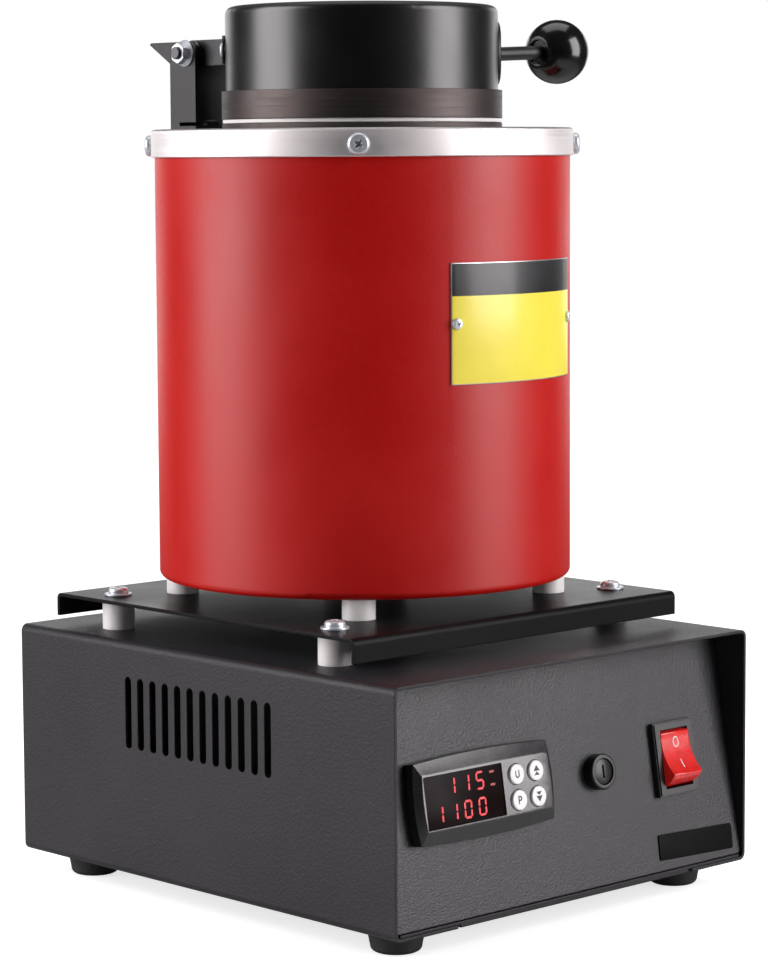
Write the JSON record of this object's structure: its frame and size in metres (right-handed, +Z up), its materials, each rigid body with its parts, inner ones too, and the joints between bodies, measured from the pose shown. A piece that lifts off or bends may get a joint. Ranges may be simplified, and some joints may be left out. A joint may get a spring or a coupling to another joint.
{
  "type": "electric melting furnace",
  "caption": "Bench-top electric crucible furnace for melting precious metal: control box on rubber feet, steel drum on ceramic standoffs, hinged lid with a ball handle.",
  "frame": {"origin": "on the floor, under the middle of the whole outline, lid closed", "axes": "+Z up; -Y to the front panel; +Y to the lid hinge; +X to the right seen from the front, towards the ball knob"},
  "size_m": [0.2346, 0.2328, 0.3684],
  "materials": {
    "casing_paint": "satin fine texture",
    "panel_paint": "satin fine texture",
    "tray_paint": "satin",
    "hinge_paint": "satin",
    "zinc": "bright zinc plate",
    "foot_rubber": "matt",
    "inlet_plastic": "matt",
    "controller_plastic": "semi-gloss",
    "display_glass": "smoked gloss",
    "key_plastic": "semi-gloss",
    "fuse_plastic": "semi-matt",
    "switch_plastic": "semi-gloss",
    "rocker_red": "translucent gloss",
    "relay_plastic": "matt",
    "terminal_plastic": "matt",
    "ceramic_white": "satin glaze",
    "core_ceramic": "dry",
    "fibre": "soft fibre",
    "graphite": "dull graphite",
    "drum_red": "satin",
    "steel": "plain",
    "ring_steel": "brushed round the rim",
    "mouth_steel": "heat-darkened",
    "label_yellow": "printed gloss",
    "lid_enamel": "gloss",
    "band_steel": "heat-stained",
    "rod_black": "gloss",
    "ball_bakelite": "high gloss"
  },
  "bodies": {
    "furnace": {"casing_shell": "casing_paint", "base_plate": "casing_paint", "front_panel": "panel_paint", "rear_panel": "casing_paint", "panel_screws": "zinc", "rubber_feet": "foot_rubber", "foot_screws": "zinc", "power_inlet": "inlet_plastic", "inlet_screws": "zinc", "controller_housing": "controller_plastic", "display_window": "display_glass", "fuse_holder": "fuse_plastic", "fuse_tube": "zinc", "rocker_frame": "switch_plastic", "relay": "relay_plastic", "terminal_block": "terminal_plastic", "lower_standoffs": "ceramic_white", "tray": "tray_paint", "tray_screws": "zinc", "upper_standoffs": "ceramic_white", "drum_screws": "zinc", "lead_bushings": "ceramic_white", "drum_shell": "drum_red", "drum_floor": "steel", "insulation": "fibre", "heater_core": "core_ceramic", "thermocouple": "ceramic_white", "crucible_stand": "core_ceramic", "crucible": "graphite", "top_ring": "ring_steel", "ring_screws": "zinc", "mouth_ring": "mouth_steel", "label_plate": "label_yellow", "label_screws": "zinc", "hinge_bracket": "hinge_paint", "bracket_screws": "zinc", "hinge_pin": "zinc", "hinge_nut": "zinc", "hinge_spacers": "zinc"},
    "lid": {"hinge_arm": "hinge_paint", "arm_screws": "zinc", "lid_cover": "lid_enamel", "lid_band": "band_steel", "lid_ceramic": "ceramic_white", "handle_plate": "hinge_paint", "handle_rod": "rod_black", "handle_nut": "zinc", "ball_knob": "ball_bakelite"},
    "rocker": {"rocker_button": "rocker_red"},
    "fuse_cap": {"fuse_cap": "fuse_plastic"},
    "key_upper_left": {"key_upper_left": "key_plastic"},
    "key_upper_right": {"key_upper_right": "key_plastic"},
    "key_lower_left": {"key_lower_left": "key_plastic"},
    "key_lower_right": {"key_lower_right": "key_plastic"}
  },
  "joints": [
    {"name": "lid_hinge", "type": "hinge", "parent": "furnace", "child": "lid", "pos_m": [-0.01535, 0.09228, 0.3509], "axis": [-1, 0, 0], "range_deg": [0, 148]},
    {"name": "rocker_tilt", "type": "hinge", "parent": "furnace", "child": "rocker", "pos_m": [0.04915, -0.10592, 0.05734], "axis": [1, 0, 0], "range_deg": [0, 34]},
    {"name": "fuse_cap_turn", "type": "hinge", "parent": "furnace", "child": "fuse_cap", "pos_m": [0.00305, -0.10683, 0.058], "axis": [0, 0.9874, -0.1582], "range_deg": [-90, 0]},
    {"name": "key_upper_left_press", "type": "slide", "parent": "furnace", "child": "key_upper_left", "axis": [0, 0.9874, -0.1582], "range_m": [0, 0.0008], "stiffness_N_per_m": 900, "springref_m": -0.0006},
    {"name": "key_upper_right_press", "type": "slide", "parent": "furnace", "child": "key_upper_right", "axis": [0, 0.9874, -0.1582], "range_m": [0, 0.0008], "stiffness_N_per_m": 900, "springref_m": -0.0006},
    {"name": "key_lower_left_press", "type": "slide", "parent": "furnace", "child": "key_lower_left", "axis": [0, 0.9874, -0.1582], "range_m": [0, 0.0008], "stiffness_N_per_m": 900, "springref_m": -0.0006},
    {"name": "key_lower_right_press", "type": "slide", "parent": "furnace", "child": "key_lower_right", "axis": [0, 0.9874, -0.1582], "range_m": [0, 0.0008], "stiffness_N_per_m": 900, "springref_m": -0.0006}
  ]
}
